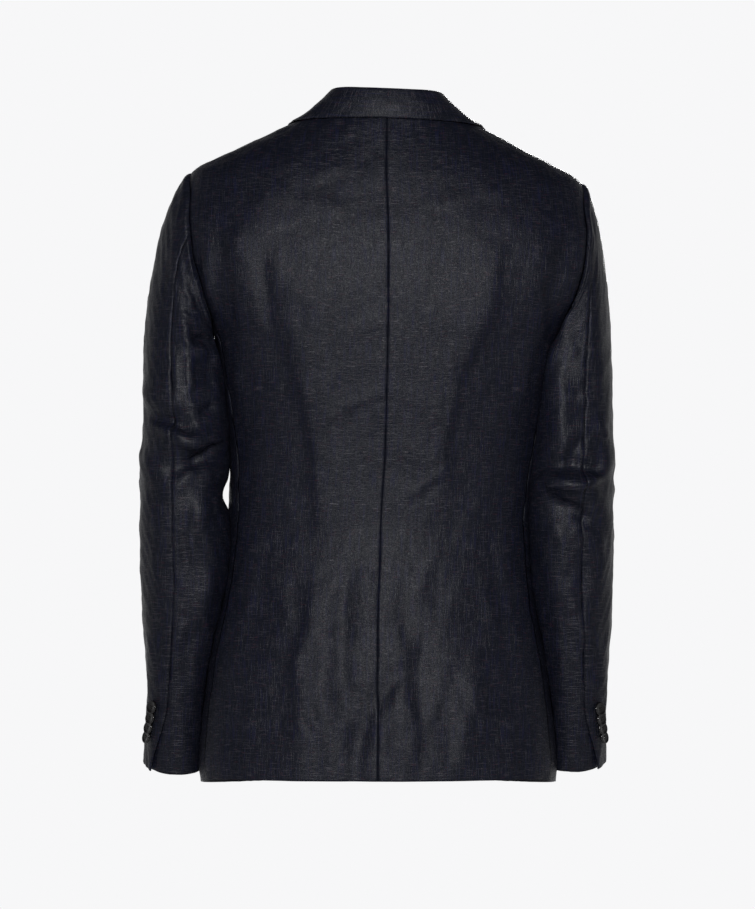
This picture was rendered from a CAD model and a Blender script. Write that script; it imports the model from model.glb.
import math

import bmesh
import bpy
import numpy as np
from mathutils import Matrix, Vector


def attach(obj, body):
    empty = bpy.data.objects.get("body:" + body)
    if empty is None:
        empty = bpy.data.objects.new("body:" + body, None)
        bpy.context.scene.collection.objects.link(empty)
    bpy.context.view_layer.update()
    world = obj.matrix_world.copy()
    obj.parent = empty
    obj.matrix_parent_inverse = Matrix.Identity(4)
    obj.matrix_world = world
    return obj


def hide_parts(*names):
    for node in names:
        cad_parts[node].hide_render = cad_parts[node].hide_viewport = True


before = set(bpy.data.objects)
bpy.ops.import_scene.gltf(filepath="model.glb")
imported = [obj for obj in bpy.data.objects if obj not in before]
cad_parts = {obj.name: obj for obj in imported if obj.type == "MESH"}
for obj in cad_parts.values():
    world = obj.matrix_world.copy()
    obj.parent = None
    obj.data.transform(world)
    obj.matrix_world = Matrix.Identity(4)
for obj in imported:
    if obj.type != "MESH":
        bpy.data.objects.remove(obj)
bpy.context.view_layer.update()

MM = 0.001

# Camera: level, behind the jacket, far off.
camera_data = bpy.data.cameras.new("camera")
camera_data.sensor_width = 36
camera_data.lens = 165
camera_data.clip_end = 100
camera = bpy.data.objects.new("camera", camera_data)
camera.location = (0.0049, 4.5, -0.359)
camera.rotation_euler = (math.pi / 2, 0, math.pi)
bpy.context.scene.collection.objects.link(camera)
bpy.context.scene.camera = camera


# Colours and materials.
def linear(hex_colour):
    """A colour given as sRGB hex, in linear light."""
    parts = [int(hex_colour[i : i + 2], 16) / 255 for i in (1, 3, 5)]
    return [p / 12.92 if p <= 0.04045 else ((p + 0.055) / 1.055) ** 2.4 for p in parts] + [1]


def add_node(tree, kind, inputs=None, **settings):
    """One shader node with its settings; an input is a value or another node's output."""
    node = tree.nodes.new(kind)
    for key, value in settings.items():
        setattr(node, key, value)
    for key, value in (inputs or {}).items():
        if isinstance(value, bpy.types.NodeSocket):
            tree.links.new(value, node.inputs[key])
        else:
            node.inputs[key].default_value = value
    return node


def new_material(name):
    material = bpy.data.materials.new(name)
    material.use_nodes = True
    tree = material.node_tree
    return material, tree, tree.nodes["Principled BSDF"]


def threads(tree, across, along, width, length, low, high):
    """Threads running along one way of the cloth: 0 to 1 where a thread is thicker than the rest."""
    a = add_node(tree, "ShaderNodeMath", {0: across, 1: 1 / width}, operation="MULTIPLY").outputs[0]
    b = add_node(tree, "ShaderNodeMath", {0: along, 1: 1 / length}, operation="MULTIPLY").outputs[0]
    place = add_node(tree, "ShaderNodeCombineXYZ", {"X": a, "Y": b}).outputs[0]
    noise = add_node(
        tree,
        "ShaderNodeTexNoise",
        {"Vector": place, "Scale": 1.0, "Detail": 1.0, "Roughness": 0.5},
        noise_dimensions="2D",
    )
    picked = {"Value": noise.outputs["Fac"], "From Min": low, "From Max": high}
    return add_node(tree, "ShaderNodeMapRange", picked, interpolation_type="SMOOTHSTEP").outputs[0]


def mixed(tree, factor, a, b):
    node = add_node(tree, "ShaderNodeMix", data_type="RGBA")
    for socket, value in ((node.inputs[0], factor), (node.inputs[6], a), (node.inputs[7], b)):
        if isinstance(value, bpy.types.NodeSocket):
            tree.links.new(value, socket)
        else:
            socket.default_value = value
    return node.outputs[2]


def times(tree, value, factor):
    return add_node(tree, "ShaderNodeMath", {0: value, 1: factor}, operation="MULTIPLY").outputs[0]


def plus(tree, a, b):
    return add_node(tree, "ShaderNodeMath", {0: a, 1: b}, operation="ADD").outputs[0]


# Navy linen: plain-woven from slubby flax yarns dyed before weaving, so thick places in both ways
# of the cloth show as short lighter streaks, with a few bluer and redder threads.
def linen_material():
    material, tree, shader = new_material("navy slub linen")
    uv = add_node(tree, "ShaderNodeUVMap", uv_map="thread mm")
    split = add_node(tree, "ShaderNodeSeparateXYZ", {"Vector": uv.outputs[0]})
    u, v = split.outputs[0], split.outputs[1]
    weft = threads(tree, v, u, 0.85, 15, 0.56, 0.76)
    warp = threads(tree, u, v, 0.85, 17, 0.57, 0.77)
    fine_weft = threads(tree, v, u, 0.55, 4, 0.35, 0.7)
    fine_warp = threads(tree, u, v, 0.55, 4, 0.35, 0.7)
    blue = threads(tree, u, v, 1.5, 34, 0.5, 0.75)
    red = threads(tree, v, u, 1.1, 11, 0.66, 0.8)
    patches = threads(tree, u, v, 38, 70, 0.3, 0.7)
    colour = mixed(tree, times(tree, patches, 0.5), linear("#030407"), linear("#05060a"))
    colour = mixed(tree, times(tree, blue, 0.6), colour, linear("#070817"))
    colour = mixed(tree, times(tree, fine_weft, 0.35), colour, linear("#090a10"))
    colour = mixed(tree, times(tree, fine_warp, 0.25), colour, linear("#08090f"))
    colour = mixed(tree, times(tree, warp, 0.55), colour, linear("#0e0e12"))
    colour = mixed(tree, times(tree, weft, 0.7), colour, linear("#121116"))
    colour = mixed(tree, times(tree, red, 0.45), colour, linear("#1a0b10"))
    slubs = plus(tree, times(tree, weft, 0.55), times(tree, warp, 0.4))
    yarns = plus(tree, times(tree, fine_weft, 0.3), times(tree, fine_warp, 0.2))
    high = plus(tree, slubs, yarns)
    bump = add_node(tree, "ShaderNodeBump", {"Strength": 0.6, "Distance": 0.0004, "Height": high})
    gloss = plus(tree, times(tree, high, 0.06), 0.024)
    tree.links.new(colour, shader.inputs["Base Color"])
    tree.links.new(bump.outputs[0], shader.inputs["Normal"])
    tree.links.new(gloss, shader.inputs["Specular IOR Level"])
    shader.inputs["Roughness"].default_value = 0.4
    return material


# Dark horn, turned and polished, with slight brown clouds.
def horn_material():
    material, tree, shader = new_material("polished dark horn")
    place = add_node(tree, "ShaderNodeTexCoord").outputs["Object"]
    noise = add_node(tree, "ShaderNodeTexNoise", {"Vector": place, "Scale": 160, "Detail": 3.0})
    colour = mixed(tree, noise.outputs["Fac"], linear("#020203"), linear("#080707"))
    tree.links.new(colour, shader.inputs["Base Color"])
    shader.inputs["Roughness"].default_value = 0.13
    shader.inputs["Specular IOR Level"].default_value = 0.14
    return material


# Twisted polyester sewing thread in the cloth's colour.
def thread_material():
    material, tree, shader = new_material("navy sewing thread")
    shader.inputs["Base Color"].default_value = linear("#0a0b11")
    shader.inputs["Roughness"].default_value = 0.6
    shader.inputs["Specular IOR Level"].default_value = 0.12
    return material


LINEN = linen_material()
HORN = horn_material()
THREAD = thread_material()

# Sizes in millimetres, the same as the solids'.
CLOTH = 2.0
SEAM_GAP = 0.34
LAY_GAP = 0.4
HEM = -703
SHOULDER_LEVEL = -60
NECK_LEVEL = 7
NAPE_RISE = 1.5
SHOULDER_TILT = 5.5
FRONT_DROP = 16
SHELL = 1.2  # thickness of the cloth that shows
LAPEL_SHELL = 1.7
COLLAR_SHELL = 1.8
POCKET_SHELL = 1.3
POCKET_LIFT = 2.0
HEM_TURN = 20  # the hem is pressed up this far
TRIM = -0.15  # sewn edges meet under the seam line


class Table:
    """Rows under named columns; at() reads a column along a smooth curve that never overshoots."""

    def __init__(self, columns, rows):
        self.rows = np.array(rows, float)
        self.index = {name: i for i, name in enumerate(columns.split())}

    def at(self, column, where):
        rows = self.rows[np.argsort(self.rows[:, 0])]
        x = rows[:, 0]
        y = rows[:, self.index[column]]
        slope = np.diff(y) / np.diff(x)
        a, b = slope[:-1], slope[1:]
        same = a * b > 0
        middle = np.where(same, 2 * a * b / np.where(same, a + b, 1), 0)
        tangent = np.concatenate(([slope[0]], middle, [slope[-1]]))
        t = np.clip(where, x[0], x[-1])
        i = np.clip(np.searchsorted(x, t) - 1, 0, len(x) - 2)
        span = x[i + 1] - x[i]
        w = (t - x[i]) / span
        w2 = w * w
        w3 = w2 * w
        return (
            (2 * w3 - 3 * w2 + 1) * y[i]
            + (w3 - 2 * w2 + w) * span * tangent[i]
            + (3 * w2 - 2 * w3) * y[i + 1]
            + (w3 - w2) * span * tangent[i + 1]
        )


BODY = Table("level half back front back_square front_square lean", [
    (HEM, 191, 121, 124, 2.3, 2.4, 4.5),
    (-682, 193, 121, 124, 2.3, 2.4, 4.6),
    (-650, 190.5, 120, 122, 2.3, 2.4, 4.7),
    (-606, 185, 116, 121, 2.3, 2.4, 4.8),
    (-560, 178.5, 109, 119, 2.25, 2.4, 4.6),
    (-520, 170.5, 103, 117, 2.2, 2.4, 4),
    (-480, 166, 97, 116, 2.2, 2.4, 2.5),
    (-440, 164.5, 92, 115, 2.2, 2.4, 1.6),
    (-400, 165.5, 93, 116, 2.25, 2.4, -0.3),
    (-360, 168, 97, 118, 2.3, 2.4, -3),
    (-290, 177, 108, 124, 2.5, 2.4, -5),
    (-245, 184.5, 114, 127, 2.65, 2.5, -5.8),
    (-217, 193.5, 117, 127, 2.85, 2.5, -6.4),
    (-189, 209, 117.5, 125, 3.0, 2.5, -6.6),
    (-150, 225, 115, 118, 3.0, 2.5, -6.6),
    (-118, 226.5, 110, 107, 2.85, 2.45, -6.5),
    (-86, 220, 101, 92, 2.55, 2.3, -5.5),
    (-73, 216.5, 97, 85.5, 2.42, 2.25, -5),
    (-65, 213, 94.5, 81, 2.32, 2.22, -4.6),
    (SHOULDER_LEVEL, 209.5, 93, 78, 2.26, 2.2, -4.5),
    (-53, 200, 90, 74, 2.2, 2.15, -4.5),
    (-44, 183, 86, 68.5, 2.15, 2.15, -4.5),
    (-26, 146.3, 78, 57, 2.05, 2.1, -5),
    (NECK_LEVEL, 80, 63, 40, 2.0, 2.0, -5.5),
])

# Largest folds. across: place sideways; up: level; turn: degrees; long, wide: half sizes; high: height;
# bow: how far the ends hang below the middle.
FOLD_COLUMNS = ("across", "up", "turn", "long", "wide", "high", "bow")
BODY_FOLDS = [
    (190, -160, 4, 48, 8, 3.5, 0),
    (174, -178, 6, 55, 9, -4, 0),
    (150, -200, 8, 80, 14, 2.5, 0),
    (-199, -165, -5, 50, 8, 3.5, 0),
    (-180, -180, -8, 60, 10, -4, 0),
    (-155, -205, -10, 80, 14, 2.5, 0),
    (38, -580, 5, 70, 12, -3, 0),
    (80, -655, -8, 60, 15, 3, 0),
    (22, -672, -6, 60, 12, -3.5, 0),
    (-48, -570, -6, 75, 12, -3, 0),
    (-92, -640, -12, 65, 15, 3.5, 0),
    (-25, -640, 3, 75, 13, 2.5, 0),
]
SLEEVE_FOLDS = {
    "left": [
        (104, -345, 4, 36, 11, 7, -7),
        (112, -368, 12, 38, 9, -7, -6),
        (68, -322, -14, 40, 10, -4.5, 0),
        (60, -300, -10, 34, 12, 3, 0),
        (50, -380, -30, 42, 13, 3.5, 0),
        (92, -232, 88, 70, 8, 4, 0),
        (118, -250, 84, 60, 9, -3.5, 0),
        (98, -520, 60, 60, 12, 3, 0),
        (128, -410, 22, 30, 10, 3.5, 0),
        (178, -402, 0, 60, 17, -9, 0),
        (-65, -392, -8, 34, 12, -5, 4),
        (-70, -366, 6, 34, 12, 4, 4),
        (-60, -425, -14, 34, 13, 3.5, 0),
    ],
    "right": [
        (100, -394, 6, 40, 11, 7, -9),
        (96, -374, 4, 36, 9, -5, -8),
        (88, -420, 16, 40, 10, -6, -4),
        (52, -372, -30, 36, 12, 4, 0),
        (112, -300, 84, 70, 12, 4, 0),
        (74, -330, 80, 60, 10, -3, 0),
        (96, -500, 66, 60, 12, 3, 0),
        (66, -560, 72, 60, 11, 2.5, 0),
        (-65, -396, 8, 34, 12, -5, 4),
        (-70, -370, -6, 34, 12, 4, 4),
        (-60, -430, 14, 34, 13, 3.5, 0),
    ],
}
SLEEVES = {
    "left": Table("share level out fore wide deep", [
        (0 / 6, -262, 212, -4, 45.5, 66),
        (1 / 6, -335, 210, -12, 47.5, 64),
        (2 / 6, -408, 211.5, -16, 49, 61),
        (3 / 6, -470, 211, -6, 50, 58),
        (4 / 6, -540, 214.5, 12, 44.5, 56),
        (5 / 6, -620, 220.5, 34, 35, 54),
        (6 / 6, -690, 224, 55, 34.5, 53),
    ]),
    "right": Table("share level out fore wide deep", [
        (0 / 6, -266, 204.5, -3, 43.5, 66),
        (1 / 6, -335, 204, -10, 45, 64),
        (2 / 6, -408, 202, -14, 47, 61),
        (3 / 6, -470, 202.5, -5, 47, 58),
        (4 / 6, -540, 205, 12, 43.5, 56),
        (5 / 6, -620, 207, 34, 37, 54),
        (6 / 6, -687, 207.5, 54, 35, 53),
    ]),
}
ARMHOLE = {"middle": -147.5, "high": 87.5, "back": 68, "front": 66, "egg": 0.2}
UNDERARM = ARMHOLE["middle"] - ARMHOLE["high"]
SIDE_BACK = math.radians(75.5)
SIDE_FRONT = math.radians(104)
VENT_TOP = -472
VENT_UNDERLAP = 26
VENT_LIFT = CLOTH + LAY_GAP + 0.2
SLEEVE_SQUARE = 2.25
SLEEVE_CLEAR = -0.3
SLEEVE_START = np.array([0.8, 0.28, -0.62])
SLEEVE_START_TOP = np.array([0.1, 0, 0.17])
HEAD_LEAVE = {"left": 0.5, "right": 0.36}
HEAD_ARRIVE = 0.95
BACK_ARM_SEAM = math.radians(79)
FORE_ARM_SEAM = math.radians(-125)
# Cloth round the arm for each radian: at the fullest, at the wrist, along the cuff and on the whole.
UPPER_ARM_REACH = 56
WRIST_REACH = 44
CUFF_REACH = 46
ARM_REACH = 52
# Places along a sleeve run from 0 at the armhole over 1 at the foot of the head to 2 at the cuff.
CUFF_VENT = 1.76
CUFF_UNDERLAP = 20
CUFF_LIFT = CLOTH + LAY_GAP + 0.6
CUFF_FLARE = 15
OVERLAP = 18
FRONT_LIFT = CLOTH + 1.2
GORGE = -52
BREAK = -372
CUTAWAY = -512
ROLL = 2.2
LAPEL = Table("share roll_x roll_level edge_x edge_level", [
    (0, 68, GORGE, 122, -96),
    (0.16, 54, -104, 121, -134),
    (0.36, 36.5, -169, 109, -199),
    (0.6, 15.5, -247, 78, -272),
    (0.8, -2, -312, 41, -330),
    (1, -17.5, -370, -8, -375),
])
NECK_EDGE = Table("level x", [(NECK_LEVEL, 79.6), (-17, 79.4), (-38, 76), (GORGE, 68.74)])
BUTTON_LEVELS = (-392, -498)
FRONT_BUTTON = 20
CUFF_BUTTON = 14.5
CUFF_BUTTON_TILT = math.radians(20)
CUFF_BUTTON_PLACES = (1.833, 1.86, 1.887, 1.914)
CUFF_BUTTON_INSET = 13
FLAP = {"front": 150.5, "rear": 107.5, "level": -468, "rise": -3, "high": 50, "corner": 15}
JET = {"front": 151, "rear": 107, "level": -461.8, "rise": -3, "high": 5.6, "corner": 0}
WELT = {"front": 134.5, "rear": 112, "level": -201, "rise": 7, "high": 23, "corner": 0}
# Collar, left half: place on the neckline, the fold's crest, and its edge on the body in degrees and level.
COLLAR = [
    (0, (0, 60, 30.5), (0, -3)),
    (0.33, (25, 57.5, 30.5), (25, -3)),
    (0.62, (45, 47, 30.5), (50, -3)),
    (0.84, (56, 28, 29), (72, -3.5)),
    (1, (60.5, 6, 23.5), (91, -4.5)),
    (1.2, (65, -20, 9), (101, -13)),
    (1.45, (68, -43, -9), (109.5, -29)),
    (1.75, (69, -61, -31.5), (115, -45)),
]
COLLAR_TILT = 0.04
GORGE_NOTCH = 0.56
COLLAR_LEAF = 32
COLLAR_ROLL = 2.3
FALL_HEIGHT = LAY_GAP + 1.3
NOTCH_SHARE = 0.54


def smooth(x, start, end):
    t = np.clip((np.asarray(x, float) - start) / (end - start), 0, 1)
    return t * t * (3 - 2 * t)


def mix(a, b, t):
    return a + (b - a) * t


def unit(v):
    return v / np.maximum(np.linalg.norm(v, axis=-1, keepdims=True), 1e-9)


def dot(a, b):
    return (a * b).sum(-1)


def scaled(v, amount):
    return v * np.asarray(amount)[..., None]


def folds_at(folds, across, up, upright):
    high = 0
    for fold in folds:
        f = dict(zip(FOLD_COLUMNS, fold))
        turn = math.radians(90 - f["turn"] if upright else f["turn"])
        dx = across - f["across"]
        dz = up - f["up"]
        u = dx * math.cos(turn) + dz * math.sin(turn)
        w = dz * math.cos(turn) - dx * math.sin(turn) - f["bow"] * (u / f["long"]) ** 2
        high = high + f["high"] * np.exp(-((w / f["wide"]) ** 2) - (u / f["long"]) ** 4)
    return high


def section(level, behind):
    depth = np.where(behind, BODY.at("back", level), BODY.at("front", level))
    square = np.where(behind, BODY.at("back_square", level), BODY.at("front_square", level))
    return BODY.at("half", level), depth, square


def body(angle, level):
    """The body's outer face: angle from the centre back past the left side to 180 degrees in front."""
    angle, level = np.broadcast_arrays(np.asarray(angle, float), np.asarray(level, float))
    behind = np.cos(angle) > 0
    half, depth, square = section(level, behind)
    s = np.abs(np.sin(angle)) / half
    c = np.abs(np.cos(angle)) / depth
    reach = (s**square + c**square) ** (-1 / square)
    reach = reach + np.where(behind, folds_at(BODY_FOLDS, reach * np.sin(angle), level, True), 0)
    x = reach * np.sin(angle)
    y = reach * np.cos(angle)
    rise = np.where(behind, NAPE_RISE * smooth(level, SHOULDER_LEVEL, NECK_LEVEL) * np.cos(angle) ** 2, 0)
    tilt = SHOULDER_TILT * (x / 214.5) * smooth(level, -330, -110)
    drop = FRONT_DROP * smooth(y, 118, -100) * smooth(level, -560, HEM)
    return np.stack([x + BODY.at("lean", level), y, level + rise + tilt - drop], -1)


def angle_at_x(x, level, behind):
    half, depth, square = section(level, behind)
    y = depth * np.maximum(0, 1 - np.minimum(1, np.abs(x) / half) ** square) ** (1 / square)
    return np.where(behind, np.arctan2(x, y), math.pi - np.arctan2(x, y))


def angle_at_y(y, level):
    half, depth, square = section(level, np.asarray(y) > 0)
    x = half * np.maximum(0, 1 - np.minimum(1, np.abs(y) / depth) ** square) ** (1 / square)
    return np.arctan2(x, y)


def normal_of(face, u, v, side, step=1e-3):
    du = face(u + step, v) - face(u - step, v)
    dv = face(u, v + step) - face(u, v - step)
    return unit(np.cross(du, dv)) * side


def armhole_angle(level, behind):
    c = np.clip((level - ARMHOLE["middle"]) / ARMHOLE["high"], -1, 1)
    s = np.sqrt(1 - c * c) * (1 - ARMHOLE["egg"] * c)
    return angle_at_y(ARMHOLE["back"] * s if behind else -ARMHOLE["front"] * s, level)


def armhole_floor(angle):
    angle = np.asarray(angle, float)
    low = np.full(angle.shape, ARMHOLE["middle"] - ARMHOLE["high"])
    high = np.full(angle.shape, float(ARMHOLE["middle"]))
    for _ in range(40):
        middle = (low + high) / 2
        behind = armhole_angle(middle, True) < angle
        before = armhole_angle(middle, False) > angle
        inside = np.where(angle < math.pi / 2, behind, before)
        high = np.where(inside, middle, high)
        low = np.where(inside, low, middle)
    return low


SIDE_SEAM_TOP = float(armhole_floor(SIDE_BACK))
DART_TOP = float(armhole_floor(SIDE_FRONT))


def trim_angle(level):
    return TRIM / BODY.at("half", level)


def finer(values, step):
    """The same range with more stops between, none further apart than step."""
    out = [values[0]]
    for a, b in zip(values, values[1:]):
        n = max(1, math.ceil(abs(b - a) / step))
        out += [a + (b - a) * (i + 1) / n for i in range(n)]
    return np.array(out)


# Creases pressed or pulled into the cloth, each drawn by hand as a line of places in mm. side: seen from
# behind or before (x, z), or from the outside of a sleeve (y, z). first, second: half widths to the
# left and right of the line as it runs; high: a ridge (+) or a trough (-).
def crease(points, first, second, high, side="behind"):
    return {"points": np.array(points, float), "first": first, "second": second, "high": high, "side": side}


CREASES = {
    "back": [
        crease([(102, -196), (87, -270), (70, -339), (66, -407), (66, -466)], 9, 34, 3.6),
        crease([(-120, -117), (-115, -202), (-80, -272), (-64, -344), (-61, -435)], 32, 9, 3.4),
        crease([(68, -472), (76, -542), (90, -578), (87, -671)], 8, 26, 3.2),
        crease([(98, -52), (127, -93), (167, -156), (170, -215)], 12, 26, 1.8),
        crease([(126, -143), (122, -186), (118, -238)], 7, 7, -2.2),
        crease([(40, -477), (41, -513), (37, -567)], 8, 10, -1.5),
        crease([(-20, -477), (-24, -523), (-30, -576)], 8, 10, -1.3),
        crease([(17, -470), (15, -513), (19, -555)], 10, 9, 1.3),
        crease([(-44, -470), (-48, -523), (-46, -565)], 10, 9, 1.3),
        crease([(-61, -567), (-17, -591), (15, -633), (31, -694)], 13, 10, -3.0),
        crease([(55, -555), (63, -608), (59, -681)], 10, 12, 1.8),
        crease([(-27, -608), (-34, -650), (-29, -697)], 8, 8, 2.0),
        crease([(-85, -584), (-103, -618), (-110, -666)], 9, 12, 1.9),
        crease([(-61, -618), (-74, -660), (-72, -702)], 10, 9, -1.4),
        crease([(83, -635), (74, -655)], 3, 3, -1.3),
        crease([(-78, -367), (-45, -390), (-17, -409)], 5, 8, 1.2),
        crease([(-72, -380), (-40, -404), (-19, -420)], 5, 5, -0.7),
        crease([(-15, -289), (23, -302), (55, -314)], 5, 6, 0.9),
        crease([(127, -470), (108, -502), (95, -555)], 8, 10, 1.2),
        crease([(-98, -470), (-116, -523), (-126, -597)], 9, 8, 1.2),
        crease([(154, -555), (141, -618), (144, -692)], 8, 9, 1.3),
        crease([(-145, -618), (-137, -660), (-139, -702)], 8, 8, 1.2),
        crease([(-24, -103), (-93, -86), (-145, -76)], 7, 10, 0.9),
        crease([(23, -105), (87, -91), (139, -82)], 10, 7, 0.9),
        crease([(189, -139), (186, -162), (182, -188)], 4, 4, 2.2),
        crease([(177, -158), (174, -183), (170, -211)], 5, 5, -2.6),
        crease([(-200, -162), (-195, -179), (-189, -198)], 4, 4, 2.0),
        crease([(-179, -167), (-176, -186), (-173, -202)], 5, 5, -2.2),
        crease([(158, -238), (154, -281), (150, -333)], 6, 8, 1.4),
        crease([(-160, -228), (-152, -270), (-145, -323)], 8, 6, 1.4),
        crease([(39, -143), (44, -196), (40, -259)], 14, 14, 0.7),
        crease([(-40, -133), (-53, -196), (-48, -249)], 14, 12, 0.7),
    ],
    "front": [
        crease([(30, -392), (70, -372), (112, -362)], 6, 5, 1.8, "before"),
        crease([(30, -398), (72, -408), (118, -420)], 5, 7, 1.5, "before"),
        crease([(-30, -394), (-72, -378), (-110, -372)], 5, 6, 1.7, "before"),
        crease([(-28, -400), (-76, -414), (-120, -418)], 7, 5, 1.4, "before"),
        crease([(168, -175), (158, -215), (150, -255)], 7, 7, 2.2, "before"),
        crease([(152, -180), (140, -225), (136, -260)], 8, 8, -2.4, "before"),
        crease([(-172, -178), (-162, -220), (-150, -262)], 7, 7, 2.2, "before"),
        crease([(-154, -184), (-146, -226), (-136, -258)], 8, 8, -2.4, "before"),
        crease([(60, -530), (68, -590), (64, -660)], 12, 10, 1.7, "before"),
        crease([(104, -540), (112, -600), (108, -670)], 10, 11, -1.6, "before"),
        crease([(-66, -536), (-60, -600), (-68, -668)], 11, 12, 1.7, "before"),
        crease([(-110, -546), (-104, -610), (-112, -676)], 10, 10, -1.5, "before"),
        crease([(120, -300), (128, -350), (132, -410)], 9, 9, 1.4, "before"),
        crease([(-124, -304), (-130, -352), (-134, -412)], 9, 9, 1.4, "before"),
    ],
    "sleeve_left": [
        crease([(204, -126), (203, -147), (203, -163), (209, -176)], 3, 3.5, 2.4),
        crease([(205, -186), (204, -197), (205, -207)], 3.5, 3.5, 2.2),
        crease([(216, -209), (205, -213), (195, -213)], 3, 3.5, 1.9),
        crease([(207, -216), (209, -228), (208, -238), (201, -248)], 3.5, 3.5, 2.4),
        crease([(201, -250), (206, -261), (205, -277), (203, -295)], 4, 4, 2.3),
        crease([(207, -305), (200, -307), (192, -306)], 3, 3, 1.8),
        crease([(202, -309), (200, -322), (190, -337)], 4, 4, 1.8),
        crease([(205, -237), (190, -236), (173, -240)], 5, 5, -4.2),
        crease([(196, -318), (186, -312), (174, -305)], 5, 5, -4.0),
        crease([(198, -258), (189, -250), (179, -254), (177, -271)], 5, 5, 1.6),
        crease([(221, -248), (220, -280), (221, -315)], 2.5, 9, 1.8),
        crease([(213, -226), (212, -264), (214, -306)], 5, 4, -1.8),
        crease([(230, -260), (228, -275), (234, -297)], 4, 4, 1.2),
        crease([(245, -319), (224, -324), (195, -340)], 4, 4, -3.4),
        crease([(242, -328), (226, -336), (207, -347), (182, -350)], 6, 9, 4.2),
        crease([(162, -347), (177, -352), (195, -363), (213, -372)], 4, 6, -4.6),
        crease([(194, -376), (209, -382), (220, -399)], 6, 6, 1.5),
        crease([(188, -367), (191, -408), (197, -450)], 9, 7, 1.8),
        crease([(209, -408), (211, -450), (207, -504)], 7, 7, -1.6),
        crease([(237, -408), (241, -461), (239, -525)], 7, 6, 1.2),
        crease([(181, -450), (188, -514), (190, -578)], 7, 7, 1.5),
        crease([(203, -525), (209, -568), (211, -621)], 6, 6, -1.4),
        crease([(228, -141), (233, -194), (237, -242)], 8, 8, -1.2),
        crease([(220, -130), (224, -173), (220, -194)], 6, 6, 1.0),
    ],
    "sleeve_right": [
        crease([(-218, -119), (-212, -160), (-206, -192), (-196, -216), (-191, -245)], 4, 2.5, 2.6),
        crease([(-204, -226), (-211, -243), (-213, -260)], 6, 5, -1.6),
        crease([(-186, -260), (-192, -301), (-190, -360)], 8, 9, 2.0),
        crease([(-218, -335), (-205, -356), (-200, -382)], 8, 7, -3.6),
        crease([(-209, -367), (-224, -376), (-239, -367)], 6, 6, -2.6),
        crease([(-166, -379), (-179, -390), (-210, -394), (-226, -387), (-243, -380)], 4, 9, 5.0),
        crease([(-168, -399), (-190, -413), (-207, -419), (-224, -438)], 5, 6, -3.2),
        crease([(-174, -429), (-190, -450), (-196, -493)], 8, 8, 1.8),
        crease([(-211, -445), (-215, -493), (-209, -557)], 7, 8, -1.8),
        crease([(-230, -429), (-235, -472), (-230, -525)], 5, 6, 1.4),
        crease([(-186, -504), (-192, -557), (-196, -621)], 7, 7, 1.5),
        crease([(-175, -568), (-178, -621), (-181, -669)], 5, 5, -1.3),
        crease([(-222, -271), (-223, -280), (-224, -291)], 1.8, 1.8, -1.2),
        crease([(-226, -194), (-230, -248), (-233, -301)], 8, 8, 1.2),
        crease([(-211, -292), (-219, -301), (-222, -314)], 5, 5, 1.6),
        crease([(-228, -322), (-237, -335), (-242, -344)], 5, 5, 1.4),
        crease([(-222, -126), (-228, -154), (-226, -194)], 7, 7, -1.2),
    ],
}


# Creases that both elbows have on the outside and in front, drawn for the left arm; the right arm's lie
# this much lower outside and higher in front.
OUTER_CREASES = [
    ([(-10, -347), (16, -361), (40, -357)], 6, 7, 1.0),
    ([(-30, -383), (0, -391), (34, -383)], 5, 8, 1.1),
    ([(-36, -405), (0, -419), (30, -409)], 6, 5, -1.0),
    ([(-44, -431), (-8, -441), (24, -435)], 7, 6, 0.8),
    ([(-30, -325), (-6, -337), (14, -333)], 6, 6, -0.8),
    ([(-60, -515), (-40, -555), (-34, -605)], 8, 7, 0.6),
    ([(-76, -555), (-66, -605), (-70, -645)], 7, 8, -0.6),
]
FORE_CREASES = [
    ([(176, -387), (204, -399), (236, -393)], 6, 8, 3.0),
    ([(178, -415), (206, -423), (238, -413)], 7, 6, -3.2),
    ([(182, -439), (208, -449), (236, -443)], 6, 7, 2.4),
    ([(186, -353), (206, -365), (232, -359)], 6, 6, -2.0),
    ([(200, -523), (206, -583), (212, -643)], 8, 8, 1.5),
]
OUTER_DROP = 9
FORE_RISE = 7
for points, first, second, high in OUTER_CREASES:
    CREASES["sleeve_left"].append(crease(points, first, second, high, "outer"))
    lower = [(y, z - OUTER_DROP) for y, z in points]
    CREASES["sleeve_right"].append(crease(lower, first, second, high, "outer"))
for points, first, second, high in FORE_CREASES:
    CREASES["sleeve_left"].append(crease(points, first, second, high, "before"))
    mirrored = [(-x, z + FORE_RISE) for x, z in points]
    CREASES["sleeve_right"].append(crease(mirrored, first, second, high, "before"))
CREASE_DEPTH = {"back": 1.15, "front": 1.2, "sleeve_left": 1.5, "sleeve_right": 1.6}


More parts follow.
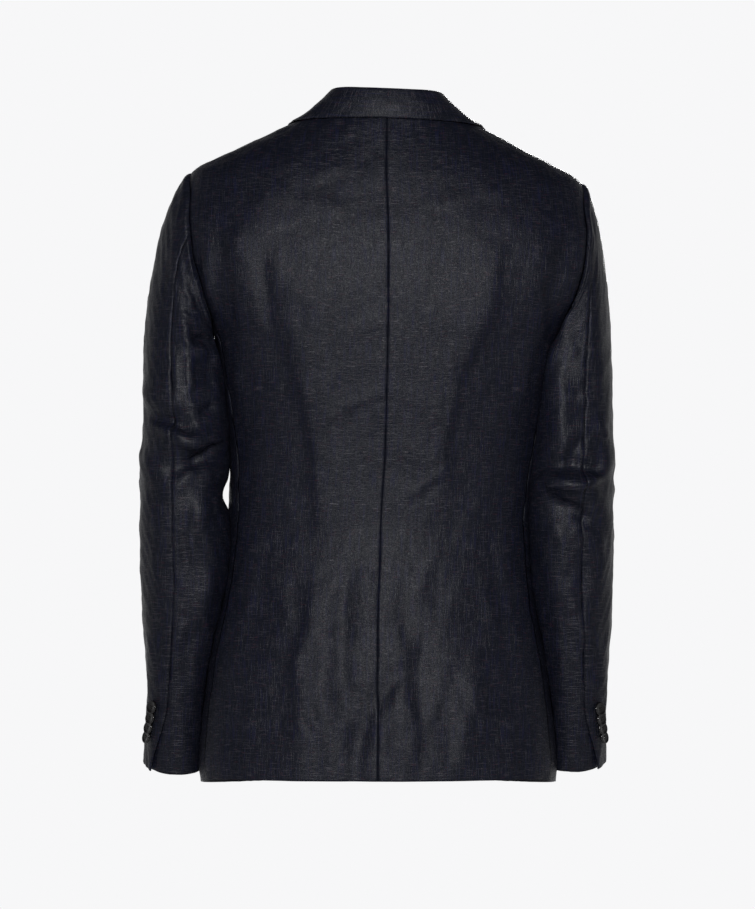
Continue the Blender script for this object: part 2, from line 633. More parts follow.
def crease_height(creases, points, normals):
    """Height of the creases at points of a piece; one seen from a side fades where the cloth turns away."""
    total = np.zeros(points.shape[:-1])
    for c in creases:
        if c["side"] == "outer":
            place = points[..., 1:3]
            facing = np.abs(normals[..., 0]) * (np.sign(points[..., 0]) == np.sign(normals[..., 0]))
        else:
            place = points[..., [0, 2]]
            facing = normals[..., 1] if c["side"] == "behind" else -normals[..., 1]
        line = c["points"]
        lengths = np.linalg.norm(np.diff(line, axis=0), axis=1)
        starts = np.concatenate(([0], np.cumsum(lengths)))
        best = np.full(place.shape[:-1], 1e9)
        signed = np.zeros_like(best)
        share = np.zeros_like(best)
        for i, length in enumerate(lengths):
            way = (line[i + 1] - line[i]) / length
            offset = place - line[i]
            t = np.clip(offset @ way, 0, length)
            away = offset - t[..., None] * way
            d = np.linalg.norm(away, axis=-1)
            nearer = d < best
            best = np.where(nearer, d, best)
            side = way[0] * offset[..., 1] - way[1] * offset[..., 0]
            signed = np.where(nearer, np.sign(side), signed)
            share = np.where(nearer, (starts[i] + t) / starts[-1], share)
        width = np.where(signed > 0, c["first"], c["second"])
        taper = smooth(share, -0.02, 0.3) * smooth(share, 1.02, 0.7)
        total += c["high"] * np.exp(-((best / width) ** 2)) * taper * smooth(facing, 0.05, 0.4)
    return total


def worn(name, points, normals):
    """Height of all the hand-drawn creases of a piece; the arms crease more than the body."""
    return CREASE_DEPTH[name] * crease_height(CREASES[name], points, normals)


def rumple(u, v, wave, seed):
    """Low uneven waves of the cloth, about 1 high and of this mean length in mm."""
    random = np.random.default_rng(seed)
    total = 0
    for _ in range(16):
        turn = random.uniform(0, 2 * math.pi)
        length = wave * random.uniform(0.6, 1.9)
        phase = random.uniform(0, 2 * math.pi)
        total = total + np.cos((u * math.cos(turn) + v * math.sin(turn)) * 2 * math.pi / length + phase)
    return total / 4


def measured(points):
    """Distances in mm along a grid's rows and columns, from its first corner."""
    across = np.linalg.norm(np.diff(points, axis=1), axis=-1)
    down = np.linalg.norm(np.diff(points, axis=0), axis=-1)
    u = np.concatenate((np.zeros((points.shape[0], 1)), np.cumsum(across, 1)), 1)
    v = np.concatenate((np.zeros((1, points.shape[1])), np.cumsum(down, 0)), 0)
    return u, v


# A seam's edge is drawn down a little by its stitches.
def seam_dip(distance, deep=0.8, wide=1.7):
    return -deep * np.exp(-((distance / wide) ** 2))


GRIDS = {}


def grid_object(name, points, uv, material, thickness, offset):
    rows, columns = points.shape[:2]
    bm = bmesh.new()
    bmesh.ops.create_grid(bm, x_segments=columns - 1, y_segments=rows - 1, size=1)
    mesh = bpy.data.meshes.new(name)
    bm.to_mesh(mesh)
    bm.free()
    flat = np.empty(len(mesh.vertices) * 3)
    mesh.vertices.foreach_get("co", flat)
    flat = flat.reshape(-1, 3)
    column = np.rint((flat[:, 0] + 1) / 2 * (columns - 1)).astype(int)
    row = np.rint((flat[:, 1] + 1) / 2 * (rows - 1)).astype(int)
    mesh.vertices.foreach_set("co", (points[row, column] * MM).ravel())
    corner = np.empty(len(mesh.loops), int)
    mesh.loops.foreach_get("vertex_index", corner)
    layer = mesh.uv_layers.new(name="thread mm")
    layer.data.foreach_set("uv", uv[row, column][corner].ravel())
    mesh.polygons.foreach_set("use_smooth", np.ones(len(mesh.polygons), bool))
    mesh.materials.append(material)
    mesh.update()
    piece = bpy.data.objects.new(name, mesh)
    bpy.context.scene.collection.objects.link(piece)
    shell = piece.modifiers.new("cloth", "SOLIDIFY")
    shell.thickness = thickness * MM
    shell.offset = offset
    return piece


def dress(piece, node):
    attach(piece, "root")
    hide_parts(node)
    return piece


def add_cloth(node, points, normals, offset=-1, thickness=SHELL, grain=0, uv=None):
    """A piece of cloth over a grid of points with outward normals. grain: the column that runs with the
    warp, where uv, the cloth's own coordinates in mm, isn't given."""
    GRIDS[node] = (points, normals, (1 + offset) / 2 * thickness)
    if uv is None:
        u, v = measured(points)
        u = u - u[:, grain][:, None]
        uv = np.stack([u, np.repeat(v[:, grain][:, None], u.shape[1], 1)], -1)
    facing = np.cross(points[:-1, 1:] - points[:-1, :-1], points[1:, :-1] - points[:-1, :-1])
    if (facing * normals[:-1, :-1]).sum() < 0:
        points = points[:, ::-1]
        normals = normals[:, ::-1]
        uv = uv[:, ::-1]
    piece = grid_object(f"{node}_cloth", points, uv, LINEN, thickness, offset)
    return dress(piece, node)


# Back, side panels and fronts.
BACK_LEVELS = finer([HEM, -698, VENT_TOP, SIDE_SEAM_TOP, -100, SHOULDER_LEVEL, NECK_LEVEL], 3.2)


def panel_grid(place, rows, shares):
    r, s = np.meshgrid(rows, shares, indexing="ij")
    u, v, lift = place(r, s)
    base = body(u, v)
    normals = normal_of(body, u, v, -1)
    return base, normals, lift


def finish_panel(node, base, normals, lift, creases, seed, seams, grain=0):
    """Lifts, creases, waves, seams and the turned hem; seams: which of start, end and top are sewn."""
    u, v = measured(base)
    to_end = u[:, -1:] - u
    to_top = v[-1:, :] - v
    nearest = np.minimum(u, to_end)
    at_armhole = smooth(base[..., 2], UNDERARM - 15, UNDERARM) * smooth(nearest, 6, 0)
    high = lift + worn(creases, base, normals) * (1 - at_armhole)
    high = high + 0.35 * rumple(u, v, 34, seed) + 0.14 * rumple(u, v, 11, seed + 50)
    for name, distance in (("start", u), ("end", to_end), ("top", to_top)):
        if name in seams:
            high = high + seam_dip(distance, 0.75, 1.25)
    high = high + 0.4 * smooth(v, HEM_TURN + 3, HEM_TURN)
    return add_cloth(node, base + scaled(normals, high), normals, grain=grain)


def back_place(sign):
    def place(level, s):
        edge = np.where(level < SHOULDER_LEVEL, armhole_angle(level, True), math.pi / 2)
        edge = np.where(level > SIDE_SEAM_TOP, edge, SIDE_BACK) - trim_angle(level)
        centre = trim_angle(level)
        angle = mix(centre, edge, s)
        from_edge = (edge - angle) * BODY.at("half", level)
        lift = VENT_LIFT * smooth(level, VENT_TOP + 55, VENT_TOP + 4) * smooth(from_edge, 48, 30)
        return sign * angle, level, lift

    return place


def side_place(sign):
    vent_share = (VENT_TOP - HEM) / (SIDE_SEAM_TOP - HEM)

    def place(share, s):
        seam_level = mix(HEM, SIDE_SEAM_TOP, share)
        under = VENT_UNDERLAP * smooth(share, vent_share, 0.94 * vent_share)
        start = SIDE_BACK + trim_angle(seam_level) - under / BODY.at("half", seam_level)
        angle = mix(start, SIDE_FRONT - trim_angle(seam_level), s)
        top = armhole_floor(np.clip(angle, SIDE_BACK, SIDE_FRONT)) - TRIM
        return sign * angle, mix(HEM, top, share), np.zeros_like(angle)

    return place


def roll_x(level):
    return mix(-OVERLAP, 68, np.clip((level - BREAK) / (GORGE - BREAK), 0, 1))


def front_edge(level):
    share = np.clip((CUTAWAY - level) / (CUTAWAY - HEM), 0, 1)
    corner = np.clip((share - 0.78) / 0.22, 0, 1)
    low = -OVERLAP + 50 * share**2 + 46 * (1 - np.sqrt(1 - (0.995 * corner) ** 2))
    edge = np.where(level > BREAK, roll_x(level) + SEAM_GAP + 0.4, low)
    return np.where(level > GORGE, NECK_EDGE.at("x", level), edge)


def front_lift(sign, x):
    return FRONT_LIFT * smooth(x, 58, 26) if sign > 0 else np.zeros_like(x)


def front_place(sign):
    def place(level, s):
        side = np.where(level < SHOULDER_LEVEL, armhole_angle(level, False), math.pi / 2)
        side = np.where(level > DART_TOP, side, SIDE_FRONT) + trim_angle(level)
        edge = angle_at_x(front_edge(level) + np.where(level > GORGE, 0.6, 0), level, False)
        angle = mix(side, edge, s)
        x = sign * (body(sign * angle, level)[..., 0] - BODY.at("lean", level))
        return sign * angle, level, front_lift(sign, x)

    return place


FRONT_LEVELS = finer(
    [HEM, -700, -690, -660, CUTAWAY, BREAK, -367, DART_TOP, -100, SHOULDER_LEVEL, GORGE, NECK_LEVEL - 3], 3.2
)
for side_name, sign in (("left", 1), ("right", -1)):
    seed = 11 if sign > 0 else 23
    base, normals, lift = panel_grid(back_place(sign), BACK_LEVELS, np.linspace(0, 1, 78))
    finish_panel(f"back_{side_name}", base, normals, lift, "back", seed, ("start", "top"))
    shares = finer([0, (VENT_TOP - HEM) / (SIDE_SEAM_TOP - HEM), 1], 0.0065)
    base, normals, lift = panel_grid(side_place(sign), shares, np.linspace(0, 1, 36))
    finish_panel(f"side_panel_{side_name}", base, normals, lift, "back", seed + 1, ("end", "top"))
    base, normals, lift = panel_grid(front_place(sign), FRONT_LEVELS, np.linspace(0, 1, 78))
    finish_panel(f"front_{side_name}", base, normals, lift, "front", seed + 2, ("start", "top"), -1)


# Lapels.
def on_front(sign, x, level):
    angle = sign * angle_at_x(x, level, False)
    return body(angle, level), normal_of(body, angle, level, -1)


def lapel_face(sign, share, across):
    roll, roll_level, edge_x, edge_level = (
        LAPEL.at(key, share) for key in ("roll_x", "roll_level", "edge_x", "edge_level")
    )
    tuck = np.maximum(0, 5 - 2 * roll) / (edge_x - roll) if sign < 0 else 0 * roll
    fold = smooth(roll, 3, 9) if sign < 0 else 1 + 0 * roll
    turned = np.clip(across / 0.24, 0, 1)
    flat = np.clip((across - 0.24) / 0.76, 0, 1)
    out = mix(np.minimum(tuck, 0.9), 1, flat)
    spin = mix(-math.pi / 2, math.pi / 2, turned)
    x = mix(roll, edge_x, out) - fold * ROLL * np.cos(spin) * (flat <= 0)
    level = mix(roll_level, edge_level, out)
    rest = LAY_GAP + 1
    crest = ROLL * 2 - CLOTH / 2
    belly = 2.2 * np.sin(math.pi * flat) * smooth(share, 1, 0.6)
    laid = mix(crest, rest, smooth(flat, 0, 1)) + belly
    folded = np.where(turned < 1, -CLOTH / 2 + ROLL * (1 + np.sin(spin)), laid)
    tucked = rest + 0.4 * turned + belly * 0.4
    point, normal = on_front(sign, x, level)
    return point + scaled(normal, mix(tucked, folded, fold) + front_lift(sign, x))


def grid_normals(points, outward):
    down = np.gradient(points, axis=0)
    across = np.gradient(points, axis=1)
    normals = unit(np.cross(down, across))
    return normals if dot(normals, outward).sum() > 0 else -normals


LAPEL_ACROSS = np.concatenate((np.linspace(0, 0.24, 12)[:-1], np.linspace(0.24, 1, 40)))
for side_name, sign in (("left", 1), ("right", -1)):
    rows = np.linspace(0.004, 0.985 if sign > 0 else 0.85, 110)
    r, c = np.meshgrid(rows, LAPEL_ACROSS, indexing="ij")
    points = lapel_face(sign, r, c)
    folded_over = c >= 0.12
    normals = grid_normals(points, scaled(np.array([0, -1.0, 0]), folded_over))
    u, v = measured(points)
    high = 0.25 * rumple(u, v, 30, 31 + sign) * smooth(c, 0.24, 0.5)
    add_cloth(f"lapel_{side_name}", points + scaled(normals, high), normals, offset=0, thickness=LAPEL_SHELL)


# Collar.
def neckline(sign, place):
    """Middle of the cloth at the neck: place 0 at the nape, 1 at the shoulder and 2 at the gorge."""
    level = NECK_LEVEL if place <= 1 else mix(NECK_LEVEL, GORGE, place - 1)
    angle = place * math.pi / 2 if place <= 1 else float(angle_at_x(front_edge(level), level, False))
    normal = normal_of(body, np.float64(sign * angle), np.float64(level), -1)
    return body(sign * angle, level) - normal * CLOTH / 2


def raised_over(points, high):
    """The points, moved out where they lie lower than this over the body below the neck."""
    moved = points.copy()
    for _ in range(3):
        angle = np.arctan2(moved[..., 0] - BODY.at("lean", moved[..., 2]), moved[..., 1])
        level = 2 * moved[..., 2] - body(angle, moved[..., 2])[..., 2]
        normal = normal_of(body, angle, level, -1)
        short = np.maximum(0, high - dot(moved - body(angle, level), normal))
        moved = moved + scaled(normal, short * smooth(moved[..., 2], NECK_LEVEL + 5, NECK_LEVEL - 4))
    return moved


def collar_stations(sign):
    """Neckline, crest, edge and outward way at each station of one half of the collar, and its notch."""
    top_x, top_level, edge_x, edge_level = LAPEL.rows[0, 1:]
    along_gorge = unit(np.array([edge_x - top_x, edge_level - top_level]))
    off = np.array([-along_gorge[1], along_gorge[0]]) * 0.6
    notch = np.array([mix(top_x, edge_x, GORGE_NOTCH), mix(top_level, edge_level, GORGE_NOTCH)]) + off
    turn = math.radians(84)
    leaf = np.array([
        along_gorge[0] * math.cos(turn) - along_gorge[1] * math.sin(turn),
        along_gorge[0] * math.sin(turn) + along_gorge[1] * math.cos(turn),
    ])

    def over_body(place):
        point, normal = on_front(sign, np.float64(place[0]), np.float64(place[1]))
        return point + normal * FALL_HEIGHT

    rows = []
    for neck, roll, fall in COLLAR:
        angle = np.float64(sign * math.radians(fall[0]))
        normal = normal_of(body, angle, np.float64(fall[1]), -1)
        crest = np.array([sign * roll[0] + float(BODY.at("lean", NECK_LEVEL)), roll[1], roll[2]])
        crest[2] += sign * roll[0] * COLLAR_TILT
        rows.append((neckline(sign, neck), crest, body(angle, fall[1]) + normal * FALL_HEIGHT, normal))
    end_crest = lapel_face(sign, np.float64(0), np.float64(0.12)) + np.array([sign * off[0], 0, off[1]])
    end_out = on_front(sign, np.float64(top_x), np.float64(top_level))[1]
    foot = neckline(sign, 2) + np.array([0, 0, 0.6])
    rows.append((foot, end_crest, over_body(notch + leaf * COLLAR_LEAF), end_out))
    return rows, over_body(notch)


def spline(points, t):
    """Smooth curve through points, evenly timed from one to the next."""
    points = np.array(points)
    count = len(points)
    place = (count - 1) * np.asarray(t)
    i = np.minimum(np.floor(place).astype(int), count - 2)
    w = (place - i)[..., None]
    padded = np.concatenate(([2 * points[0] - points[1]], points, [2 * points[-1] - points[-2]]))
    p = [padded[i + k] for k in range(4)]
    d = [np.maximum(np.linalg.norm(p[k + 1] - p[k], axis=-1, keepdims=True), 1e-6) ** 0.5 for k in range(3)]
    start = ((p[1] - p[0]) / d[0] - (p[2] - p[0]) / (d[0] + d[1]) + (p[2] - p[1]) / d[1]) * d[1]
    end = ((p[2] - p[1]) / d[1] - (p[3] - p[1]) / (d[1] + d[2]) + (p[3] - p[2]) / d[2]) * d[1]
    return (
        p[1]
        + start * w
        + (3 * (p[2] - p[1]) - 2 * start - end) * w**2
        + (2 * (p[1] - p[2]) + start + end) * w**3
    )


def collar_grid(ways):
    left, notch_left = collar_stations(1)
    right, notch_right = collar_stations(-1)
    rows = right[1:][::-1] + left
    t = (ways + 1) / 2
    seam, crest, edge, out = (spline([row[k] for row in rows], t) for k in range(4))
    facing = unit(out)
    foot = seam + unit(crest - seam) * 1.35

    def flatten(v):
        return unit(v - scaled(facing, dot(v, facing)))

    up = flatten(-(flatten(foot - crest) + flatten(edge - crest)))
    centre = crest - up * COLLAR_ROLL

    def turn(a):
        return centre + up * COLLAR_ROLL * math.cos(a) + facing * COLLAR_ROLL * math.sin(a)

    last = 1 - 1 / len(COLLAR)
    front = np.clip((np.abs(ways) - last) / (1 - last), 0, 1)[:, None]
    notch = np.where(ways[:, None] > 0, notch_left, notch_right)
    belly = mix(1.6, -2.5, smooth(np.abs(ways), 0.25, 0.5) * smooth(np.abs(ways), 0.8, 0.55))
    stand_top, fall_top = turn(-math.pi / 2), turn(math.pi / 2)
    columns = [mix(foot, stand_top, s) for s in np.linspace(0, 1, 9)[:-1]]
    columns += [turn(a) for a in np.linspace(-math.pi / 2, math.pi / 2, 9)]
    for share in np.linspace(0, 1, 16)[1:]:
        plain = mix(fall_top, edge, share) + scaled(facing, belly * math.sin(math.pi * share))
        if share < NOTCH_SHARE:
            bent = mix(fall_top, notch, share / NOTCH_SHARE)
        else:
            bent = mix(notch, edge, (share - NOTCH_SHARE) / (1 - NOTCH_SHARE))
        columns.append(raised_over(mix(plain, bent, front), FALL_HEIGHT))
    return np.stack(columns, 1), facing


ways = np.linspace(-1, 1, 181)
points, facing = collar_grid(ways)
outward = np.repeat(facing[:, None], points.shape[1], 1)
outward[:, :14] *= 0
normals = grid_normals(points, outward)
u, v = measured(points)
fall_part = smooth(np.arange(points.shape[1]), 17, 22)[None, :]
high = (0.22 * rumple(u, v, 26, 77) + 0.1 * rumple(u, v, 9, 78)) * fall_part
add_cloth("collar", points + scaled(normals, high), normals, offset=0, thickness=COLLAR_SHELL, grain=22)


# Sleeves.
def sleeve_face(name):
    sign = 1 if name == "left" else -1
    table = SLEEVES[name]

    def middle(share):
        return np.stack([table.at("out", share), -table.at("fore", share), table.at("level", share)], -1)

    def tube(turned, share):
        k = np.clip(share, 0, 1)
        centre = middle(k)
        axis = unit(middle(np.minimum(1, k + 0.03)) - middle(np.maximum(0, k - 0.03)))
        axis = unit(mix(axis, np.array([0, 0, -1.0]), (1 - smooth(k, 0, 0.3))[..., None]))
        out = unit(np.array([1.0, 0, 0]) - axis * axis[..., :1])
        back = np.cross(out, axis)
        c, s = np.cos(turned), np.sin(turned)
        wide, deep = table.at("wide", k), table.at("deep", k)
        n = SLEEVE_SQUARE
        reach = ((np.abs(c) / wide) ** n + (np.abs(s) / deep) ** n) ** (-1 / n)
        for fold in SLEEVE_FOLDS[name]:
            start = math.radians(fold[0])
            off = np.arctan2(np.sin(turned - start), np.cos(turned - start))
            reach = reach + folds_at([(0,) + fold[1:]], off * ARM_REACH, centre[..., 2], False)
        return centre + scaled(out, reach * c) + scaled(back, reach * s)

    def clear_of_body(p, ease):
        level = p[..., 2]
        half, depth, square = section(level, p[..., 1] > 0)
        share = np.minimum(1, np.abs(p[..., 1]) / depth)
        body_x = half * np.maximum(0, 1 - share**square) ** (1 / square)
        over = body_x + sign * BODY.at("lean", level) + SLEEVE_CLEAR * ease - p[..., 0]
        push = np.where(over > 3, over, np.where(over < -3, 0, (over + 3) ** 2 / 12))
        moved = p.copy()
        moved[..., 0] += push * smooth(level, -218, -240) * ease
        return moved

    def face(turned, down):
        turned, down = np.broadcast_arrays(np.asarray(turned, float), np.asarray(down, float))
        arm = clear_of_body(tube(turned, down - 1), np.ones_like(down))
        c, s = np.cos(turned), np.sin(turned)
        level = ARMHOLE["middle"] + ARMHOLE["high"] * c
        y = s * (1 - ARMHOLE["egg"] * c) * np.where(s > 0, ARMHOLE["back"], ARMHOLE["front"])
        start = body(sign * angle_at_y(y, level), level)
        start[..., 0] *= sign
        to = clear_of_body(tube(turned, 0 * down), np.ones_like(down))
        leave = np.broadcast_to(SLEEVE_START, start.shape).copy()
        leave[..., 1] *= s
        leave = unit(leave + SLEEVE_START_TOP * c[..., None])
        arrive = unit(tube(turned, 0 * down + 0.02) - tube(turned, 0 * down))
        length = np.linalg.norm(to - start, axis=-1)
        t = np.clip(down, 0, 1)
        t2, t3 = t * t, t * t * t
        head = (
            scaled(start, 2 * t3 - 3 * t2 + 1)
            + scaled(leave, (t3 - 2 * t2 + t) * length * HEAD_LEAVE[name])
            + scaled(to, 3 * t2 - 2 * t3)
            + scaled(arrive, (t3 - t2) * length * HEAD_ARRIVE)
        )
        head = clear_of_body(head, smooth(down, 0, 0.4))
        p = np.where((down >= 1)[..., None], arm, head)
        return p * np.array([sign, 1, 1])

    return face


def lap_edge(down):
    return BACK_ARM_SEAM - (CUFF_FLARE / CUFF_REACH) * smooth(down, CUFF_VENT + 0.05, 2.02)


def lap_lift(turned, down):
    from_vent = (lap_edge(down) - turned) * CUFF_REACH
    over = CUFF_LIFT * smooth(down, CUFF_VENT - 0.1, CUFF_VENT) * smooth(from_vent, 40, 26)
    return over + 1.6 * smooth(down, CUFF_VENT + 0.1, 2) * smooth(from_vent, 14, 0)


SLEEVE_ROWS = np.concatenate((np.linspace(0, 1, 60)[:-1], np.linspace(1, 2, 150)))
for name, sign in (("left", 1), ("right", -1)):
    face = sleeve_face(name)
    for part in ("upper", "under"):
        down, s = np.meshgrid(SLEEVE_ROWS, np.linspace(0, 1, 66 if part == "upper" else 46), indexing="ij")
        trim = TRIM / mix(UPPER_ARM_REACH, WRIST_REACH, np.clip(down - 1, 0, 1))
        if part == "upper":
            turned = mix(FORE_ARM_SEAM + trim, lap_edge(down) - trim, s)
            lift = lap_lift(turned, down)
        else:
            under = (CUFF_UNDERLAP / CUFF_REACH) * smooth(down, CUFF_VENT + 0.005, CUFF_VENT + 0.06)
            turned = mix(lap_edge(down) + trim - under, FORE_ARM_SEAM + 2 * math.pi - trim, s)
            lift = 0 * down
        base = face(turned, down)
        normals = normal_of(face, turned, down, -sign)
        u, v = measured(base)
        high = lift + worn(f"sleeve_{name}", base, normals) * smooth(v, 0, 8)
        seed = 40 + sign + (5 if part == "upper" else 0)
        high = high + (0.4 * rumple(u, v, 30, seed) + 0.16 * rumple(u, v, 10, seed + 9)) * smooth(v, 0, 20)
        roping = 1.3 * np.exp(-(((v - 7) / 5) ** 2))
        high = high + roping + seam_dip(v)
        sewn = smooth(down, CUFF_VENT, CUFF_VENT - 0.03)
        back_seam, fore_seam = (u[:, -1:] - u, u) if part == "upper" else (u, u[:, -1:] - u)
        high = high + seam_dip(back_seam, 0.15, 0.8) * sewn + seam_dip(fore_seam, 0.3, 1.0)
        uv = np.stack([turned * ARM_REACH, -base[..., 2]], -1)
        add_cloth(f"{part}_sleeve_{name}", base + scaled(normals, high), normals, uv=uv)


# Pocket flaps, jets and the breast welt.
def pocket_piece(node, sign, piece):
    rows = np.linspace(0, 1, 30 if piece["high"] > 10 else 6)
    down, s = np.meshgrid(rows, np.linspace(0, 1, 60), indexing="ij")
    from_foot = (1 - down) * piece["high"]
    bend = np.clip(1 - from_foot / max(piece["corner"], 1e-6), 0, 1)
    inset = np.degrees(piece["corner"] * (1 - np.sqrt(1 - (0.99 * bend) ** 2)) / 130)
    angle = mix(piece["front"] - inset, piece["rear"] + inset, s)
    level = piece["level"] + piece["rise"] * s - piece["high"] * down
    turned = sign * np.radians(angle)
    base = body(turned, level)
    normals = normal_of(body, turned, level, -1)
    u, v = measured(base)
    high = LAY_GAP + POCKET_LIFT + 0.15 * rumple(u, v, 20, 5)
    add_cloth(node, base + scaled(normals, high), normals, thickness=POCKET_SHELL)


for side_name, sign in (("left", 1), ("right", -1)):
    pocket_piece(f"pocket_flap_{side_name}", sign, FLAP)
    pocket_piece(f"pocket_jet_{side_name}", sign, JET)
pocket_piece("breast_welt", 1, WELT)


# Buttons: turned discs with a rim, four holes and crossed thread.
def in_metres(x, y, z, place):
    """Matrix that takes the three ways and a place, all in mm, to metres."""
    sides = (x, y, z, place)
    return Matrix([[side[i] * MM for side in sides] for i in range(3)] + [[0, 0, 0, 1]])


def button(node, diameter, place, facing, up):
    r = diameter / 2
    profile = [(0.01, 0.1), (r - 0.9, 0), (r - 0.25, 0.35), (r, 1.0), (r - 0.05, 1.8), (r - 0.5, 2.45)]
    profile += [(r - 1.1, 2.55), (r - 1.8, 2.2), (r - 2.4, 1.85), (0.01, 1.75)]
    bm = bmesh.new()
    points = [bm.verts.new((x, 0, z)) for x, z in profile]
    edges = [bm.edges.new(pair) for pair in zip(points, points[1:])]
    bmesh.ops.spin(bm, geom=points + edges, axis=(0, 0, 1), cent=(0, 0, 0), steps=48, angle=2 * math.pi)
    bmesh.ops.remove_doubles(bm, verts=bm.verts, dist=0.02)
    bmesh.ops.recalc_face_normals(bm, faces=bm.faces)
    spread = diameter * 0.085
    holes = bmesh.new()
    for x, y in ((1, 1), (1, -1), (-1, 1), (-1, -1)):
        where = Matrix.Translation((x * spread, y * spread, 1.5))
        bmesh.ops.create_cone(
            holes, cap_ends=True, segments=16, radius1=diameter * 0.045, radius2=diameter * 0.045,
            depth=6, matrix=where,
        )
    mesh = bpy.data.meshes.new(f"{node}_horn")
    bm.to_mesh(mesh)
    bm.free()
    cutter = bpy.data.meshes.new("holes")
    holes.to_mesh(cutter)
    holes.free()
    piece = bpy.data.objects.new(f"{node}_horn", mesh)
    drill = bpy.data.objects.new("holes", cutter)
    for item in (piece, drill):
        bpy.context.scene.collection.objects.link(item)
    cut = piece.modifiers.new("holes", "BOOLEAN")
    cut.operation = "DIFFERENCE"
    cut.object = drill
    cut.solver = "EXACT"
    bpy.context.view_layer.update()
    drilled = bpy.data.meshes.new_from_object(piece.evaluated_get(bpy.context.evaluated_depsgraph_get()))
    piece.modifiers.clear()
    piece.data = drilled
    bpy.data.objects.remove(drill)
    bm = bmesh.new()
    bm.from_mesh(drilled)
    horn_faces = len(bm.faces)
    for turn in (math.pi / 4, -math.pi / 4):
        matrix = Matrix.Translation((0, 0, 1.95)) @ Matrix.Rotation(turn, 4, "Z")
        matrix = matrix @ Matrix.Diagonal((spread * 1.55, 0.42, 0.3, 1))
        bmesh.ops.create_icosphere(bm, subdivisions=2, radius=1, matrix=matrix)
    bm.faces.ensure_lookup_table()
    for i, f in enumerate(bm.faces):
        f.smooth = True
        f.material_index = 1 if i >= horn_faces else 0
    z = unit(np.array(facing))
    x = unit(np.cross(np.array(up), z))
    y = np.cross(z, x)
    bmesh.ops.transform(bm, matrix=in_metres(x, y, z, place), verts=bm.verts)
    bm.to_mesh(drilled)
    bm.free()
    drilled.materials.clear()
    drilled.materials.append(HORN)
    drilled.materials.append(THREAD)
    edge_split = piece.modifiers.new("crisp holes", "EDGE_SPLIT")
    edge_split.split_angle = math.radians(50)
    dress(piece, node)


for name, level in zip(("upper", "lower"), BUTTON_LEVELS):
    point, normal = on_front(1, np.float64(0), np.float64(level))
    button(f"front_button_{name}", FRONT_BUTTON, point + normal * (FRONT_LIFT + 0.5), normal, (0, 0, 1))
for name, side in (("left", -1), ("right", 1)):
    face = sleeve_face(name)
    for i, place in enumerate(CUFF_BUTTON_PLACES):
        down = np.float64(place)
        turned = lap_edge(down) - CUFF_BUTTON_INSET / CUFF_REACH
        normal = normal_of(face, turned, down, side)
        down_arm = unit(face(turned, down + 0.01) - face(turned, down - 0.01))
        facing = unit(normal * math.cos(CUFF_BUTTON_TILT) - down_arm * math.sin(CUFF_BUTTON_TILT))
        high = lap_lift(turned, down) + (CUFF_BUTTON / 2 - 0.6) * math.sin(CUFF_BUTTON_TILT)
        where = face(turned, down) + normal * high
        button(f"cuff_button_{name}_{i + 1}", CUFF_BUTTON, where, facing, down_arm)


# Sewing: every stitch is a short thread laid on the cloth.
SEWING = {}
PICK_INSET = 3.0
PICK_SPACING = 5.5
PICK_LENGTH = 1.7


def stitch(node, place, way, normal, length, width=0.45):
    z = unit(normal)
    x = unit(way - z * dot(way, z))
    y = np.cross(z, x)
    matrix = in_metres(x * length / 2, y * width / 2, z * width / 2, place + z * width * 0.2)
    bm = SEWING.setdefault(node, bmesh.new())
    bmesh.ops.create_icosphere(bm, subdivisions=2 if length > 1.4 else 1, radius=1, matrix=matrix)


def edge_line(node, edge, inset):
    """Places and normals along a line this far inside the start, end or foot of a piece."""
    points, normals, half = GRIDS[node]
    if edge == "foot":
        points, normals = points.transpose(1, 0, 2), normals.transpose(1, 0, 2)
    if edge == "end":
        points, normals = points[:, ::-1], normals[:, ::-1]
    u = measured(points)[0]
    line = np.array([[np.interp(inset, u[r], points[r, :, k]) for k in range(3)] for r in range(len(u))])
    facing = np.array([[np.interp(inset, u[r], normals[r, :, k]) for k in range(3)] for r in range(len(u))])
    return line + facing * half, facing


def pick_stitches(node, line, facing):
    far = np.concatenate(([0], np.cumsum(np.linalg.norm(np.diff(line, axis=0), axis=1))))
    for at in np.arange(PICK_SPACING, far[-1] - PICK_SPACING / 2, PICK_SPACING):
        here, there, normal = (
            np.array([np.interp(d, far, rows[:, k]) for k in range(3)])
            for d, rows in ((at, line), (at + 0.5, line), (at, facing))
        )
        stitch(node, here, there - here, normal, PICK_LENGTH)


def buttonhole(node, place, width=2.3):
    """A worked slit: place(t) gives a point and normal from one end (0) to the other (1)."""
    first, normal = place(0.0)
    last, _ = place(1.0)
    long = np.linalg.norm(last - first)
    way = unit(last - first)
    across = unit(np.cross(way, normal))
    for t in np.arange(0, 1.0001, 0.85 / long):
        point, normal = place(t)
        for side in (-1, 1):
            stitch(node, point + across * side * width * 0.27, across, normal, width * 0.5, 0.75)
    for t in (0, 1):
        point, normal = place(t)
        for k in (-0.3, 0.3):
            stitch(node, point + way * k, across, normal, width, 0.5)


for side_name in ("left", "right"):
    node = f"lapel_{side_name}"
    pick_stitches(node, *edge_line(node, "end", PICK_INSET))
    node = f"front_{side_name}"
    line, facing = edge_line(node, "end", PICK_INSET)
    below = line[:, 2] < BREAK - 8
    pick_stitches(node, line[below], facing[below])
    node = f"pocket_flap_{side_name}"
    for edge in ("start", "foot", "end"):
        pick_stitches(node, *edge_line(node, edge, PICK_INSET))
pick_stitches("collar", *edge_line("collar", "end", PICK_INSET))


def hole_on_front(level):
    def place(t):
        point, normal = on_front(1, np.float64(mix(-3, 19, t)), np.float64(level))
        return point + normal * (FRONT_LIFT + 0.2), normal

    return place


for level in BUTTON_LEVELS:
    buttonhole("front_left", hole_on_front(level))


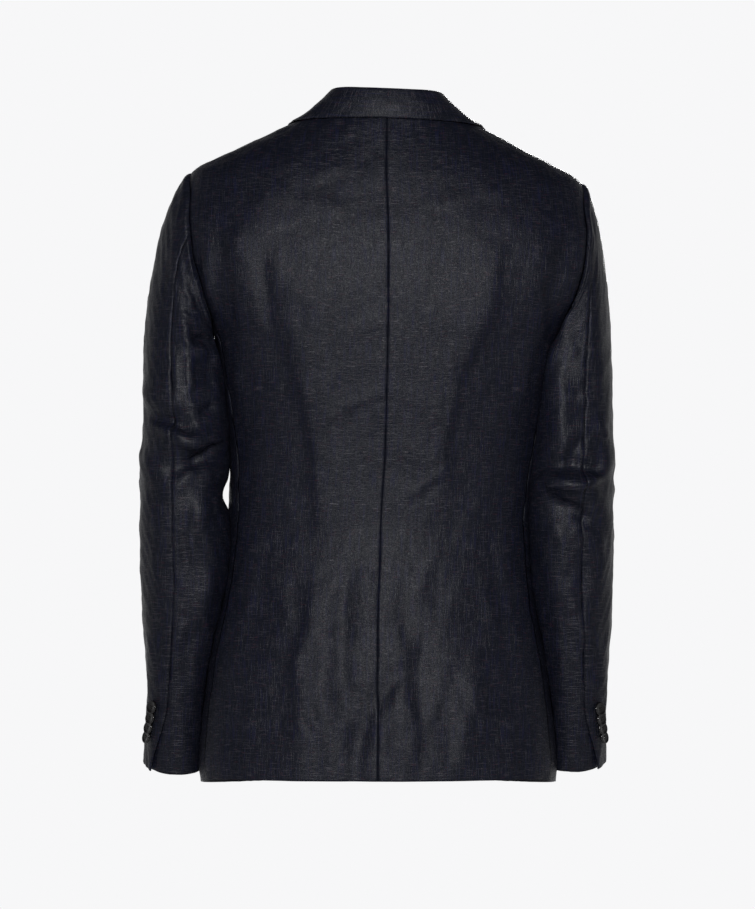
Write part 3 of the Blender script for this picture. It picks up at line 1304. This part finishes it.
def hole_on_lapel(t):
    share, across = 0.075 + 0.028 * t, mix(0.94, 0.6, t)
    point = lapel_face(1, np.float64(share), np.float64(across))
    normal = on_front(1, point[0], point[2])[1]
    return point + normal * 1.0, normal


buttonhole("lapel_left", hole_on_lapel)


def on_cuff(name, turned, down):
    face = sleeve_face(name)
    normal = normal_of(face, np.float64(turned), np.float64(down), 1 if name == "right" else -1)
    return face(turned, down) + normal * (lap_lift(turned, down) + 0.15), normal


def hole_on_cuff(name, down):
    def place(t):
        return on_cuff(name, lap_edge(down) - mix(11, 26, t) / CUFF_REACH, down)

    return place


def bar_tack(name):
    """A few threads across the top of the cuff's vent."""
    for k in range(5):
        point, normal = on_cuff(name, lap_edge(CUFF_VENT) - 0.02, CUFF_VENT - 0.004 + 0.0011 * k)
        ahead, _ = on_cuff(name, lap_edge(CUFF_VENT) - 0.06, CUFF_VENT)
        stitch(f"upper_sleeve_{name}", point, ahead - point, normal, 5, 0.35)


for name in ("left", "right"):
    for down in CUFF_BUTTON_PLACES:
        buttonhole(f"upper_sleeve_{name}", hole_on_cuff(name, down), 1.9)
    bar_tack(name)

for node, bm in SEWING.items():
    mesh = bpy.data.meshes.new(f"{node}_sewing")
    bm.to_mesh(mesh)
    bm.free()
    mesh.polygons.foreach_set("use_smooth", np.ones(len(mesh.polygons), bool))
    mesh.materials.append(THREAD)
    piece = bpy.data.objects.new(f"{node}_sewing", mesh)
    bpy.context.scene.collection.objects.link(piece)
    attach(piece, "root")


# Studio: pale surroundings, a soft light above the camera and a weaker one from before the jacket.
def area_light(name, place, target, size, power):
    data = bpy.data.lights.new(name, "AREA")
    data.shape = "DISK"
    data.size = size
    data.energy = power
    light = bpy.data.objects.new(name, data)
    light.location = place
    light.rotation_euler = (Vector(target) - Vector(place)).to_track_quat("-Z", "Y").to_euler()
    bpy.context.scene.collection.objects.link(light)


area_light("key", (0.1, 4.2, 0.95), (0, 0.1, -0.3), 0.8, 560)
area_light("front", (-0.6, -4.6, 0.5), (0, 0, -0.35), 1.2, 120)
world = bpy.data.worlds.new("pale studio")
world.use_nodes = True
sky = world.node_tree.nodes["Background"]
ray = add_node(world.node_tree, "ShaderNodeTexCoord").outputs["Generated"]
height = add_node(world.node_tree, "ShaderNodeSeparateXYZ", {"Vector": ray}).outputs["Z"]
steep = add_node(world.node_tree, "ShaderNodeMath", {0: height}, operation="ABSOLUTE").outputs[0]
away = add_node(world.node_tree, "ShaderNodeMapRange", {"Value": steep, "From Min": 0.2, "From Max": 0.5})
shade = mixed(world.node_tree, away.outputs[0], linear("#f7f7f8"), linear("#4c4c50"))
world.node_tree.links.new(shade, sky.inputs[0])
bpy.context.scene.world = world
bpy.context.scene.view_settings.view_transform = "Standard"

FLOOR_LEVEL = -1.25
floor_shape = bmesh.new()
bmesh.ops.create_circle(floor_shape, cap_ends=True, segments=96, radius=2.6)
floor_mesh = bpy.data.meshes.new("floor")
bmesh.ops.translate(floor_shape, verts=floor_shape.verts, vec=(0, 0, FLOOR_LEVEL))
floor_shape.to_mesh(floor_mesh)
floor_shape.free()
floor_material, _, floor_shader = new_material("pale floor")
floor_shader.inputs["Base Color"].default_value = linear("#ececee")
floor_shader.inputs["Roughness"].default_value = 0.8
floor_mesh.materials.append(floor_material)
floor = bpy.data.objects.new("floor", floor_mesh)
bpy.context.scene.collection.objects.link(floor)

bpy.context.view_layer.update()
